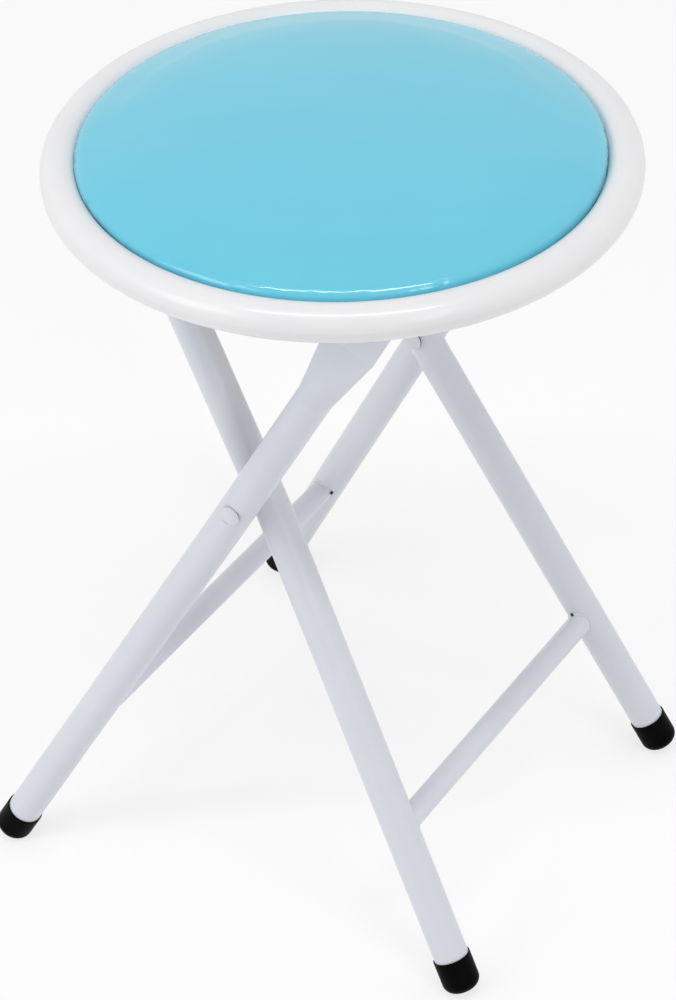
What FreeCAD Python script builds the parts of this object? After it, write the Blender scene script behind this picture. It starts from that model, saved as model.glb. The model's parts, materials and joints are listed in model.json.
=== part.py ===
import FreeCAD, Part
import math
import os
import re
import Sketcher
from FreeCAD import Vector

# Round folding stool: a padded seat in a bent tube ring on two crossed tube frames.
# X runs across the scissor, Y along the pivot axis, Z up from the floor.
# The origin is on the floor, under the middle of the seat.
doc = FreeCAD.newDocument("FoldingStool")

# Driving dimensions, in millimetres and degrees
sizes = [
    ("tube_diameter", 19, "all bent tubes, paint included"),
    ("tube_wall", 1.2, "wall of the bent tubes"),
    ("overrun", 2, "how far a cutting shape runs past what it cuts"),
    ("ring_outer_diameter", 300, "over the seat ring"),
    ("ring_height", 416, "floor to the middle of the ring tube"),
    ("pivot_shift", 2.1, "pivot axis from under the seat's middle, away from the hinge"),
    ("pivot_drop", 152.5, "middle of the ring tube down to the scissor pivots"),
    ("leg_angle", 28.3, "each frame from upright, seen along the pivots"),
    ("upper_lean", 3.95, "both frames narrow upwards by this angle"),
    ("inner_lean", 6.8, "splay of the inner legs below the bend"),
    ("outer_lean", 7.75, "splay of the outer legs below the bend"),
    ("bend_drop", 16, "the splay starts this far below the pivot"),
    ("bend_radius", 150, "radius of that bend"),
    ("hoop_radius", 30, "top corners of the inner hoop"),
    ("inner_rung_height", 87.5, "floor to the inner rung"),
    ("outer_rung_height", 92.5, "floor to the outer rung"),
    ("rung_diameter", 13, "both rungs"),
    ("rung_wall", 1, "wall of the rungs"),
    ("weld_gap", 0.05, "a coped rung end from the leg it is welded to"),
    ("cap_wall", 0.8, "foot cap around the tube"),
    ("cap_length", 20, "foot cap along the leg"),
    ("cap_sole", 3.5, "foot cap below the tube end"),
    ("cap_round", 6, "rounding of the foot cap's sole"),
    ("cap_gap", 0.05, "foot cap bore over the tube"),
    ("sole_flat", 0.6, "how much of the rounded sole the floor takes off"),
    ("rivet_diameter", 6, "shank of the pivot and hinge rivets"),
    ("rivet_head", 11, "pivot rivet head"),
    ("rivet_dome", 2, "height of the pivot rivet head"),
    ("hinge_head", 8, "hinge rivet head"),
    ("hinge_dome", 1.8, "height of the hinge rivet head"),
    ("rivet_play", 0.08, "a turning hole over its rivet, on the radius"),
    ("seat_depth", 0.5, "pressed flats under rivet heads and spacers"),
    ("seat_margin", 0.2, "pressed flat around a head or spacer"),
    ("spacer_diameter", 12, "nylon spacer between the crossed tubes"),
    ("spacer_thickness", 2.6, "the same"),
    ("running_gap", 0.1, "each side of the spacer"),
    ("flat_width", 29.4, "pressed end of the outer legs"),
    ("flat_thickness", 3, "two walls pressed together"),
    ("flat_reach", 56.4, "hinge down to where the tube starts to go flat"),
    ("flat_run", 40, "length over which it goes flat"),
    ("flat_gap", 1, "pressed end to the strap over it"),
    ("flat_edge", 1.4, "rounding along the pressed end's edges"),
    ("tip_radius", 14.5, "top of the pressed end about its hinge"),
    ("tip_slant", 30, "back corner of the pressed end, from the leg's direction"),
    ("hinge_shift", 4.5, "hinge from the pressed end's middle, towards the outside"),
    ("corner_angle", 15, "part of the tube that becomes each edge of the pressed end"),
    ("slit", 0.6, "what is left of the bore where it closes"),
    ("strap_width", 25, "steel straps across the ring"),
    ("strap_thickness", 2, "the same"),
    ("strap_rise", 3, "underside of the ring up to the straps' top face"),
    ("tab_inset", 21, "end of the hinge strap to the middle of the pressed leg end"),
    ("bracket_width", 18, "hinge bracket across its ear"),
    ("bracket_thickness", 2.5, "sheet of the hinge brackets"),
    ("bracket_foot", 16, "welded foot of the bracket, along the strap"),
    ("ear_gap", 0.3, "ear to the pressed leg end"),
    ("hook_spacing", 50, "between the two catch hooks"),
    ("hook_thickness", 2.5, "sheet of the catch hooks"),
    ("hook_flange", 14, "width of the hook's welded foot"),
    ("hook_clearance", 0.3, "notch around the hoop's top bar"),
    ("hook_prong", 5, "steel beside the notch"),
    ("hook_drop", 7, "stop side of the notch below the bar's middle"),
    ("ramp_drop", 3, "ramp side of the notch below the bar's middle"),
    ("ramp_angle", 33, "ramp from upright, so that the bar can leave"),
    ("board_thickness", 9, "plywood seat board"),
    ("board_chamfer", 1, "both rims of the board"),
    ("cover_thickness", 1, "vinyl cover"),
    ("cover_hem", 22, "cover turned in under the board"),
    ("hem_gap", 0.1, "hem to the straps"),
    ("pad_gap", 0.2, "foam to cover"),
    ("ring_gap", 3.5, "cushion's base to the ring's narrowest bore"),
    ("pad_bulge", 3.7, "widest place beyond the base"),
    ("pad_rise", 7, "ring middle up to the widest place"),
    ("pad_shoulder", 7, "rounding of the cushion's edge"),
    ("crown_slope", 10, "slope of the crown where the shoulder starts"),
    ("screw_diameter", 4, "board screws"),
    ("screw_head", 8, "the same"),
    ("screw_head_height", 2.2, "the same"),
    ("screw_length", 9, "below the head"),
    ("screw_gap", 0.05, "screw in its holes, on the radius"),
    ("screw_shift", 5, "screws off the straps' middle, towards the seat's middle"),
    ("screw_share", 0.8, "outer screws' place, of the way from the middle to the cover's hem"),
]

# Places that follow from the driving dimensions
places = [
    ("tube_radius", "tube_diameter / 2", "outside of the bent tubes"),
    ("bore_radius", "tube_radius - tube_wall", "inside of the bent tubes"),
    ("ring_radius", "ring_outer_diameter / 2 - tube_radius", "middle of the ring's tube"),
    ("pivot_x", "0 - pivot_shift", "pivots from the middle"),
    ("strap_drop", "tube_radius - strap_rise", "ring middle down to the straps' top face"),
    ("pivot_height", "ring_height - pivot_drop", "floor to the pivots"),
    ("strap_top", "ring_height - strap_drop", "floor to the straps' top face"),
    ("strap_bottom", "strap_top - strap_thickness", "floor to the straps' lower face"),
    ("strap_circle", "ring_radius - sqrt(tube_radius ^ 2 - strap_drop ^ 2)",
     "where the straps' top meets the ring"),
    ("notch_radius", "tube_radius + hook_clearance", "notch of the catch hooks"),
    ("bar_height", "strap_bottom - hook_thickness - notch_radius", "floor to the hoop's top bar"),
    ("bar_along", "(bar_height - pivot_height) / cos(leg_angle)", "pivot to the top bar, in the frame"),
    ("bar_x", "0 - pivot_shift - (bar_height - pivot_height) * tan(leg_angle)", "top bar from the middle"),
    ("hinge_height", "strap_bottom - flat_gap - tip_radius", "floor to the seat's hinges"),
    ("hinge_along", "(hinge_height - pivot_height + hinge_shift * sin(leg_angle)) / cos(leg_angle)",
     "pivot to the hinges, in the frame"),
    ("hinge_x", "hinge_along * sin(leg_angle) + hinge_shift * cos(leg_angle) - pivot_shift",
     "hinges from the middle"),
    ("flat_start", "hinge_along - flat_reach", "pivot up to where the tube starts to go flat"),
    ("flat_end", "flat_start + flat_run", "pivot up to where it is flat"),
    ("tab_half_width", "sqrt(strap_circle ^ 2 - hinge_x ^ 2) - tab_inset", "middle plane to the pressed end"),
    ("outer_half_width", "tab_half_width + (flat_start + flat_run / 2) * tan(upper_lean)",
     "middle plane to the outer tube at the pivot"),
    ("inner_half_width",
     "outer_half_width - tube_diameter + 2 * seat_depth - spacer_thickness - 2 * running_gap",
     "middle plane to the inner tube at the pivot"),
    ("cap_radius", "tube_radius + cap_wall", "outside of the foot caps"),
    ("board_bottom", "strap_top + hem_gap + cover_thickness", "floor to the board"),
    ("board_top", "board_bottom + board_thickness", "floor to the board's top"),
    ("widest_height", "ring_height + pad_rise", "floor to the cushion's widest place"),
    ("base_radius", "ring_outer_diameter / 2 - tube_diameter - ring_gap", "cushion at the board's lower rim"),
    ("pad_radius", "base_radius + pad_bulge", "cushion at its widest"),
    ("hem_radius", "base_radius - cover_hem", "edge of the cover under the board"),
    ("hinge_screw_x", "hinge_x - screw_shift", "screws of the hinge strap"),
    ("hinge_screw_y", "screw_share * sqrt(hem_radius ^ 2 - hinge_screw_x ^ 2)", "the outer two"),
    ("catch_screw_x", "bar_x + screw_shift", "screws of the catch strap"),
    ("catch_screw_y", "screw_share * sqrt(hem_radius ^ 2 - catch_screw_x ^ 2)", "the outer two"),
]
sheet = doc.addObject("Spreadsheet::Sheet", "Dimensions")
rows = [(alias, str(value), note) for alias, value, note in sizes]
rows += [(alias, "=" + formula, note) for alias, formula, note in places]
for row, (alias, content, note) in enumerate(rows, start=1):
    sheet.set(f"A{row}", alias)
    sheet.set(f"B{row}", content)
    sheet.set(f"C{row}", note)
    sheet.setAlias(f"B{row}", alias)
doc.recompute()
aliases = {alias for alias, content, note in rows}

# The two frames are drawn flat, with the pivot axis along Y through their origin
outer_frame = "placement(vector(pivot_x; 0; pivot_height); rotation(vector(0; 1; 0); leg_angle))"
inner_frame = "placement(vector(pivot_x; 0; pivot_height); rotation(vector(0; 1; 0); 0 - leg_angle))"


def bound(text):
    """Turns the sheet's words in an expression into references to its cells."""
    return re.sub(r"[a-z]\w+", lambda word: "Dimensions." + word.group()
                  if word.group() in aliases else word.group(), text)


def value_of(text):
    value = sheet.evalExpression(bound(text))
    return float(getattr(value, "Value", value))


def bind(thing, **expressions):
    """Ties properties of an object to expressions; a dot is written as two underscores."""
    for name, text in expressions.items():
        thing.setExpression(name.replace("__", "."), bound(text))


def place(thing, text):
    thing.setExpression("Placement", bound(text))


def shift(x="0", y="0", z="0"):
    return f"placement(vector({x}; {y}; {z}); rotation(vector(0; 0; 1); 0))"


def below_bend(half_width, lean, along):
    """Half width of a frame at a distance along its leg, under the bend."""
    return f"({half_width} + bend_drop * tan(upper_lean) - (bend_drop + {along}) * tan({lean}))"


def above_bend(half_width, along):
    return f"({half_width} - {along} * tan(upper_lean))"


def cap_bottom(lean):
    """Distance along the leg from the pivot to the foot cap's lowest middle, negative."""
    upright = f"(cos(leg_angle) * cos({lean}))"
    tilt = f"sqrt(1 - {upright} ^ 2)"
    height = f"((cap_radius - cap_round) * {tilt} + cap_round - sole_flat - cap_round * {upright})"
    return f"(({height} - pivot_height) / cos(leg_angle))"


def tube_end(lean):
    return f"({cap_bottom(lean)} + cap_sole * cos({lean}))"


# Sketching helpers
def new_body(name):
    body = doc.addObject("PartDesign::Body", name)
    body.Label = name
    return body


def new_sketch(body, plane, x="0", y="0", z="0", turn="0"):
    """A sketch on an origin plane, moved by x, y, z in the body and turned about X."""
    sketch = body.newObject("Sketcher::SketchObject", body.Name + "_sketch")
    support = [item for item in body.Origin.OriginFeatures if item.Role == plane + "_Plane"][0]
    sketch.AttachmentSupport = (support, [""])
    sketch.MapMode = "FlatFace"
    # Each plane has its own directions, so the move is turned into them
    moves = {"XY": (x, y, z), "XZ": (x, z, f"(0 - {y})"), "YZ": (y, z, x)}[plane]
    bind(sketch, AttachmentOffset__Base__x=moves[0], AttachmentOffset__Base__y=moves[1],
         AttachmentOffset__Base__z=moves[2])
    if turn != "0":
        sketch.AttachmentOffset.Rotation = FreeCAD.Rotation(Vector(1, 0, 0), 1)
        bind(sketch, AttachmentOffset__Rotation__Axis__x="1", AttachmentOffset__Rotation__Axis__y="0",
             AttachmentOffset__Rotation__Axis__z="0", AttachmentOffset__Rotation__Angle=turn)
    return sketch


def fix_one_way(sketch, edge, end, way, text):
    """Holds a point of a sketch in X or in Y by an expression."""
    if text == "0":
        axis = {"X": -2, "Y": -1}[way]
        sketch.addConstraint(Sketcher.Constraint("PointOnObject", edge, end, axis))
        return
    index = sketch.addConstraint(Sketcher.Constraint("Distance" + way, -1, 1, edge, end, value_of(text)))
    sketch.setExpression(f"Constraints[{index}]", bound(text))


def fix_point(sketch, edge, end, x, y):
    fix_one_way(sketch, edge, end, "X", x)
    fix_one_way(sketch, edge, end, "Y", y)


def disc(sketch, radius, x="0", y="0"):
    """A full circle."""
    centre = Vector(value_of(x), value_of(y), 0)
    edge = sketch.addGeometry(Part.Circle(centre, Vector(0, 0, 1), value_of(radius)), False)
    fix_point(sketch, edge, 3, x, y)
    index = sketch.addConstraint(Sketcher.Constraint("Radius", edge, value_of(radius)))
    sketch.setExpression(f"Constraints[{index}]", bound(radius))


def outline(sketch, corners, arcs=None, closed=True):
    """Lines from corner to corner. An arc leaves its corner with a radius, negative to turn clockwise,
    or as a half circle."""
    arcs = arcs or {}
    count = len(corners) if closed else len(corners) - 1
    points = [Vector(value_of(x), value_of(y), 0) for x, y in corners]
    ends = []
    for i in range(count):
        start, stop = points[i], points[(i + 1) % len(points)]
        if i not in arcs:
            edge = sketch.addGeometry(Part.LineSegment(start, stop), False)
            ends.append((edge, 1, 2))
            continue
        chord = stop - start
        half = arcs[i] == "half"
        radius = chord.Length / 2 if half else value_of(arcs[i])
        reach = math.sqrt(max(radius ** 2 - chord.Length ** 2 / 4, 0))
        side = Vector(-chord.y, chord.x, 0).normalize() * reach
        centre = (start + stop) / 2 + (side if radius > 0 else -side)
        first, last = (start, stop) if radius > 0 else (stop, start)
        circle = Part.Circle(centre, Vector(0, 0, 1), abs(radius))
        angles = [math.atan2(p.y - centre.y, p.x - centre.x) for p in (first, last)]
        edge = sketch.addGeometry(Part.ArcOfCircle(circle, angles[0], angles[1]), False)
        ends.append((edge, 1, 2) if radius > 0 else (edge, 2, 1))
        if half:
            # Its radius follows from its ends, so its middle is held along the other way
            upright = abs(chord.x) < abs(chord.y)
            fix_one_way(sketch, edge, 3, "X" if upright else "Y", corners[i][0 if upright else 1])
            continue
        index = sketch.addConstraint(Sketcher.Constraint("Radius", edge, abs(radius)))
        sketch.setExpression(f"Constraints[{index}]", bound(f"abs({arcs[i]})"))
    for i in range(count):
        edge, first, last = ends[i]
        fix_point(sketch, edge, first, *corners[i])
        if i + 1 < count or closed:
            following = ends[(i + 1) % count]
            sketch.addConstraint(Sketcher.Constraint("Coincident", edge, last, following[0], following[1]))
        else:
            fix_point(sketch, edge, last, *corners[-1])


def rectangle(sketch, x_low, x_high, y_low, y_high):
    outline(sketch, [(x_low, y_low), (x_high, y_low), (x_high, y_high), (x_low, y_high)])


def feature(body, kind, sketch, **expressions):
    thing = body.newObject("PartDesign::" + kind, body.Name + "_" + kind.lower())
    thing.Profile = sketch
    bind(thing, **expressions)
    return thing


def pad(body, sketch, length, both_ways=False):
    thing = feature(body, "Pad", sketch, Length=length)
    thing.SideType = "Symmetric" if both_ways else "One side"
    return thing


def pocket(body, sketch, length):
    """Cuts equally far to both sides of the sketch."""
    thing = feature(body, "Pocket", sketch, Length=length)
    thing.SideType = "Symmetric"
    return thing


def revolve(body, sketch, axis="V_Axis"):
    thing = feature(body, "Revolution", sketch)
    thing.ReferenceAxis = (sketch, [axis])
    thing.Angle = 360
    return thing


def pipe(body, profile, spine):
    thing = feature(body, "AdditivePipe", profile)
    thing.Spine = (spine, [])
    return thing


def loft(body, kind, first, second):
    thing = feature(body, kind, first)
    thing.Sections = [(second, [""])]
    return thing


def tube_section(body, y, z, turn, outer="tube_radius", inner="bore_radius"):
    """Ring-shaped section across a leaning tube."""
    sketch = new_sketch(body, "XY", y=y, z=z, turn=turn)
    disc(sketch, outer)
    disc(sketch, inner)
    return sketch


# Seat ring, straps and what hangs under them
def make_ring():
    body = new_body("seat_ring")
    sketch = new_sketch(body, "XZ")
    disc(sketch, "tube_radius", "ring_radius")
    disc(sketch, "bore_radius", "ring_radius")
    revolve(body, sketch)
    place(body, shift("0", "0", "ring_height"))
    return body


def make_strap(name, middle, screws):
    """Flat steel across the ring's bore, its ends shaped to the tube and welded to it."""
    blank = new_body(name + "_blank")
    low = f"({middle} - strap_width / 2)"
    high = f"({middle} + strap_width / 2)"
    low_end = f"sqrt(ring_radius ^ 2 - {low} ^ 2)"
    high_end = f"sqrt(ring_radius ^ 2 - {high} ^ 2)"
    sketch = new_sketch(blank, "XY", z="0 - strap_thickness")
    outline(sketch, [("0 - strap_width / 2", f"0 - {low_end}"), ("strap_width / 2", f"0 - {high_end}"),
                     ("strap_width / 2", high_end), ("0 - strap_width / 2", low_end)],
            {0: "ring_radius", 2: "ring_radius"})
    pad(blank, sketch, "strap_thickness")
    holes = new_sketch(blank, "XY")
    for x, y in screws:
        disc(holes, "screw_diameter / 2 + screw_gap", f"({x} - {middle})", y)
    pocket(blank, holes, "2 * strap_thickness + overrun")
    place(blank, shift(middle, "0", "strap_top"))
    cope = doc.addObject("Part::Torus", name + "_cope")
    bind(cope, Radius1="ring_radius", Radius2="tube_radius + weld_gap")
    place(cope, shift("0", "0", "ring_height"))
    strap = doc.addObject("Part::Cut", name)
    strap.Base, strap.Tool = blank, cope
    return strap


def span(near, far, sign):
    """Two distances from the pressed end towards the stool's middle, as low and high Y."""
    return (near, far) if sign == "-1" else (f"0 - {far}", f"0 - {near}")


def make_hinge_bracket(side, sign):
    """Steel angle under the hinge strap, its round-ended ear inside the pressed leg end."""
    body = new_body("hinge_bracket_" + side)
    near = "(flat_thickness / 2 + ear_gap)"
    height = "(strap_bottom - hinge_height)"
    middle = f"(0 - {sign} * ({near} + bracket_thickness / 2))"
    ear = new_sketch(body, "XZ", y=middle)
    outline(ear, [("0 - bracket_width / 2", "0"), ("bracket_width / 2", "0"),
                  ("bracket_width / 2", height), ("0 - bracket_width / 2", height)], {0: "half"})
    pad(body, ear, "bracket_thickness", True)
    foot = new_sketch(body, "XY", z=f"({height} - bracket_thickness)")
    rectangle(foot, "0 - bracket_width / 2", "bracket_width / 2",
              *span(near, f"({near} + bracket_foot)", sign))
    pad(body, foot, "bracket_thickness")
    hole = new_sketch(body, "XZ", y=middle)
    disc(hole, "rivet_diameter / 2")
    pocket(body, hole, "bracket_thickness + overrun")
    place(body, shift("hinge_x", f"{sign} * tab_half_width", "hinge_height"))
    return body


def make_catch_hook(side, sign):
    """Notched steel angle that drops over the hoop's top bar and stops the legs from spreading."""
    body = new_body("catch_hook_" + side)
    top = "(notch_radius + hook_thickness)"
    left = "(0 - notch_radius - hook_prong)"
    ramp_x = ("(notch_radius * cos(ramp_angle)"
              " + (notch_radius * sin(ramp_angle) + ramp_drop) * tan(ramp_angle))")
    right = f"({ramp_x} + hook_prong)"
    sketch = new_sketch(body, "XZ")
    corners = [(left, top), (left, "0 - hook_drop"), ("0 - notch_radius", "0 - hook_drop"),
               ("0 - notch_radius", "0"),
               ("notch_radius * cos(ramp_angle)", "notch_radius * sin(ramp_angle)"),
               (ramp_x, "0 - ramp_drop"), (right, "0 - ramp_drop"), (right, top)]
    outline(sketch, corners, {3: "0 - notch_radius"})
    pad(body, sketch, "hook_thickness", True)
    flange = new_sketch(body, "XY", z="notch_radius")
    inward = f"(0 - {sign} * (hook_flange - hook_thickness / 2))"
    outward = f"({sign} * hook_thickness / 2)"
    rectangle(flange, left, right, *((inward, outward) if sign == "1" else (outward, inward)))
    pad(body, flange, "hook_thickness")
    place(body, shift("bar_x", f"{sign} * hook_spacing / 2", "bar_height"))
    return body


def make_rivet(name, length, head, dome, placement):
    """Shank with a low dome at each end; its own Z is the rivet's axis."""
    body = new_body(name)
    sketch = new_sketch(body, "XZ")
    shank = "(rivet_diameter / 2)"
    rim = f"({head} / 2)"
    bulge = f"(({rim} ^ 2 + {dome} ^ 2) / (2 * {dome}))"
    corners = [("0", f"0 - {length} / 2 - {dome}"), (rim, f"0 - {length} / 2"),
               (shank, f"0 - {length} / 2"), (shank, f"{length} / 2"), (rim, f"{length} / 2"),
               ("0", f"{length} / 2 + {dome}")]
    outline(sketch, corners, {0: bulge, 4: bulge})
    revolve(body, sketch)
    place(body, placement)
    return body


def make_hinge_rivet(side, sign):
    outer_end = "(flat_thickness / 2 + running_gap)"
    inner_end = "(flat_thickness / 2 + ear_gap + bracket_thickness)"
    middle = f"({sign} * (tab_half_width + ({outer_end} - {inner_end}) / 2))"
    length = f"({outer_end} + {inner_end})"
    spot = f"placement(vector(hinge_x; {middle}; hinge_height); rotation(vector(1; 0; 0); 90))"
    return make_rivet("hinge_rivet_" + side, length, "hinge_head", "hinge_dome", spot)


# Seat board and cushion
def make_board(screw_spots):
    body = new_body("seat_board")
    sketch = new_sketch(body, "XY")
    disc(sketch, "base_radius - cover_thickness - pad_gap")
    blank = pad(body, sketch, "board_thickness")
    doc.recompute()
    rims = [f"Edge{i}" for i, edge in enumerate(blank.Shape.Edges, start=1)
            if isinstance(edge.Curve, Part.Circle)]
    chamfer = body.newObject("PartDesign::Chamfer", "seat_board_chamfer")
    chamfer.Base = (blank, rims)
    bind(chamfer, Size="board_chamfer")
    holes = new_sketch(body, "XY")
    for x, y in screw_spots:
        disc(holes, "screw_diameter / 2 + screw_gap", x, y)
    pocket(body, holes, "2 * (screw_length + overrun - strap_thickness - cover_thickness)")
    place(body, shift("0", "0", "board_bottom"))
    return body


def pad_edge(inset):
    """Corners of the cushion's skin from its widest place over the shoulder to the crown's top."""
    hub = "(pad_radius - pad_shoulder)"
    full_edge = f"({hub} + pad_shoulder * sin(crown_slope))"
    top = f"(widest_height + pad_shoulder * cos(crown_slope) + {full_edge} * tan(crown_slope / 2))"
    shoulder = f"(pad_shoulder - {inset})"
    crown = f"({full_edge} / sin(crown_slope) - {inset})"
    corners = [(f"(pad_radius - {inset})", "widest_height"),
               (f"({hub} + {shoulder} * sin(crown_slope))",
                f"(widest_height + {shoulder} * cos(crown_slope))"),
               ("0", f"({top} - {inset})")]
    return corners, shoulder, crown


def make_cover():
    """Vinyl skin in one piece: crown, rolled shoulder, drawn-in side and the hem under the board."""
    body = new_body("cushion_cover")
    outside, shoulder, crown = pad_edge("0")
    inside, inner_shoulder, inner_crown = pad_edge("cover_thickness")
    low = "(board_bottom - cover_thickness)"
    corners = ([("hem_radius", low), ("base_radius", low)] + outside + inside[::-1]
               + [("base_radius - cover_thickness", "board_bottom"), ("hem_radius", "board_bottom")])
    arcs = {2: shoulder, 3: crown, 5: f"(0 - {inner_crown})", 6: f"(0 - {inner_shoulder})"}
    sketch = new_sketch(body, "XZ")
    outline(sketch, corners, arcs)
    revolve(body, sketch)
    return body


def make_foam():
    """Foam pad on the board, with the crown and the sides drawn in towards the board."""
    body = new_body("cushion_foam")
    skin, shoulder, crown = pad_edge("(cover_thickness + pad_gap)")
    draw = "(pad_bulge / (widest_height - board_bottom))"
    rim = f"(pad_radius - cover_thickness - pad_gap - (widest_height - board_top) * {draw})"
    sketch = new_sketch(body, "XZ")
    outline(sketch, [("0", "board_top"), (rim, "board_top")] + skin, {2: shoulder, 3: crown})
    revolve(body, sketch)
    return body


def make_screws(spots):
    """Pan-head screws up through the straps into the board, one solid each."""
    screws = []
    for i, (x, y) in enumerate(spots, start=1):
        shank = doc.addObject("Part::Cylinder", f"board_screw_shank_{i}")
        bind(shank, Radius="screw_diameter / 2", Height="screw_length")
        place(shank, shift(x, y, "strap_bottom"))
        head = doc.addObject("Part::Cone", f"board_screw_head_{i}")
        bind(head, Radius1="screw_head / 2 - screw_head_height / 2", Radius2="screw_head / 2",
             Height="screw_head_height")
        place(head, shift(x, y, "(strap_bottom - screw_head_height)"))
        screw = doc.addObject("Part::Fuse", f"board_screw_{i}")
        screw.Base, screw.Tool = shank, head
        screws.append(screw)
    group = doc.addObject("Part::Compound", "board_screws")
    group.Links = screws
    return group


# Outer frame
def round_section(body, y, z, turn, radius):
    """A circle in four arcs, two of them short, that answer the edges of the flat section."""
    sketch = new_sketch(body, "XY", y=y, z=z, turn=turn)
    x, rise = f"{radius} * cos(corner_angle)", f"{radius} * sin(corner_angle)"
    corners = [(x, f"0 - {rise}"), (x, rise), (f"0 - {x}", rise), (f"0 - {x}", f"0 - {rise}")]
    outline(sketch, corners, {i: radius for i in range(4)})
    return sketch


def flat_section(body, y, z, half_width, half_thickness):
    """Two long faces with round edges between them."""
    sketch = new_sketch(body, "XY", y=y, z=z)
    x = f"({half_width} - {half_thickness})"
    corners = [(x, f"0 - {half_thickness}"), (x, half_thickness),
               (f"0 - {x}", half_thickness), (f"0 - {x}", f"0 - {half_thickness}")]
    outline(sketch, corners, {0: "half", 2: "half"})
    return sketch


def make_outer_leg(side, sign):
    """Splayed tube, bent under the pivot, its top pressed flat into a hinge tab."""
    body = new_body("outer_leg_" + side)
    foot = tube_end("outer_lean")
    foot_y = f"({sign} * {below_bend('outer_half_width', 'outer_lean', foot)})"
    bend_y = "(outer_half_width + bend_drop * tan(upper_lean))"
    tangent = "(bend_radius * tan((outer_lean - upper_lean) / 2))"
    top_y = f"({sign} * {above_bend('outer_half_width', 'flat_start')})"
    spine = new_sketch(body, "YZ")
    corners = [(foot_y, foot),
               (f"{sign} * ({bend_y} + {tangent} * sin(outer_lean))",
                f"0 - bend_drop - {tangent} * cos(outer_lean)"),
               (f"{sign} * ({bend_y} - {tangent} * sin(upper_lean))",
                f"0 - bend_drop + {tangent} * cos(upper_lean)"),
               (top_y, "flat_start")]
    outline(spine, corners, {1: f"{sign} * (0 - bend_radius)"}, closed=False)
    pipe(body, tube_section(body, foot_y, foot, f"{sign} * outer_lean"), spine)
    tab_y = f"({sign} * tab_half_width)"
    turn = f"{sign} * upper_lean"
    half_tab = "(flat_thickness / 2)"
    loft(body, "AdditiveLoft", round_section(body, top_y, "flat_start", turn, "tube_radius"),
         flat_section(body, tab_y, "flat_end", "(flat_width / 2)", half_tab))
    loft(body, "SubtractiveLoft", round_section(body, top_y, "flat_start", turn, "bore_radius"),
         flat_section(body, tab_y, "flat_end", "(flat_width / 2 - tube_wall)", "(slit / 2)"))
    tip = new_sketch(body, "XZ", y=tab_y)
    front_end = "(hinge_along + sqrt(tip_radius ^ 2 - (flat_width / 2 - hinge_shift) ^ 2))"
    tangent_x = "(hinge_shift - tip_radius * cos(tip_slant))"
    tangent_z = "(hinge_along + tip_radius * sin(tip_slant))"
    back_end = f"({tangent_z} - (flat_width / 2 + {tangent_x}) / tan(tip_slant))"
    outline(tip, [("0 - flat_width / 2", "flat_end"), ("flat_width / 2", "flat_end"),
                  ("flat_width / 2", front_end), (tangent_x, tangent_z),
                  ("0 - flat_width / 2", back_end)], {2: "tip_radius"})
    blank = pad(body, tip, "flat_thickness", True)
    doc.recompute()
    low = value_of("flat_end")
    rims = [f"Edge{i}" for i, edge in enumerate(blank.Shape.Edges, start=1)
            if edge.BoundBox.ZMax > low + value_of("flat_thickness")
            and edge.BoundBox.YLength < value_of("slit")]
    fillet = body.newObject("PartDesign::Fillet", body.Name + "_fillet")
    fillet.Base = (blank, rims)
    bind(fillet, Radius="flat_edge")
    hole = new_sketch(body, "XZ", y=tab_y)
    disc(hole, "rivet_diameter / 2 + rivet_play", "hinge_shift", "hinge_along")
    pocket(body, hole, "flat_thickness + overrun")
    rivet_hole = new_sketch(body, "XZ", y=f"({sign} * outer_half_width)")
    disc(rivet_hole, "rivet_diameter / 2")
    pocket(body, rivet_hole, "tube_diameter + overrun")
    press_flat(body, f"({sign} * (outer_half_width + tube_radius))", "rivet_head")
    press_flat(body, f"({sign} * (outer_half_width - tube_radius))", "spacer_diameter")
    place(body, outer_frame)
    return body


def press_flat(body, y, across):
    """Pressed flat on the side of a tube, under a rivet head or a spacer."""
    sketch = new_sketch(body, "XZ", y=y)
    disc(sketch, f"{across} / 2 + seat_margin")
    pocket(body, sketch, "2 * seat_depth")


# Inner frame
def make_hoop():
    """The inner legs and their top bar are one tube, bent into a hoop and splayed under the pivots."""
    body = new_body("inner_hoop")
    foot = tube_end("inner_lean")
    foot_y = below_bend("inner_half_width", "inner_lean", foot)
    bend_y = "(inner_half_width + bend_drop * tan(upper_lean))"
    tangent = "(bend_radius * tan((inner_lean - upper_lean) / 2))"
    corner_y = above_bend("inner_half_width", "bar_along")
    corner = "(hoop_radius * tan((90 - upper_lean) / 2))"
    half = [(foot_y, foot),
            (f"({bend_y} + {tangent} * sin(inner_lean))", f"(0 - bend_drop - {tangent} * cos(inner_lean))"),
            (f"({bend_y} - {tangent} * sin(upper_lean))", f"(0 - bend_drop + {tangent} * cos(upper_lean))"),
            (f"({corner_y} + {corner} * sin(upper_lean))", f"(bar_along - {corner} * cos(upper_lean))"),
            (f"({corner_y} - {corner})", "bar_along")]
    corners = half + [(f"(0 - {y})", z) for y, z in half[::-1]]
    arcs = {1: "(0 - bend_radius)", 3: "hoop_radius", 5: "hoop_radius", 7: "(0 - bend_radius)"}
    spine = new_sketch(body, "YZ")
    outline(spine, corners, arcs, closed=False)
    pipe(body, tube_section(body, foot_y, foot, "inner_lean"), spine)
    hole = new_sketch(body, "XZ")
    disc(hole, "rivet_diameter / 2 + rivet_play")
    pocket(body, hole, "2 * (inner_half_width + tube_diameter)")
    for sign in ("-1", "1"):
        press_flat(body, f"({sign} * (inner_half_width - tube_radius))", "rivet_head")
        press_flat(body, f"({sign} * (inner_half_width + tube_radius))", "spacer_diameter")
    place(body, inner_frame)
    return body


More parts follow.
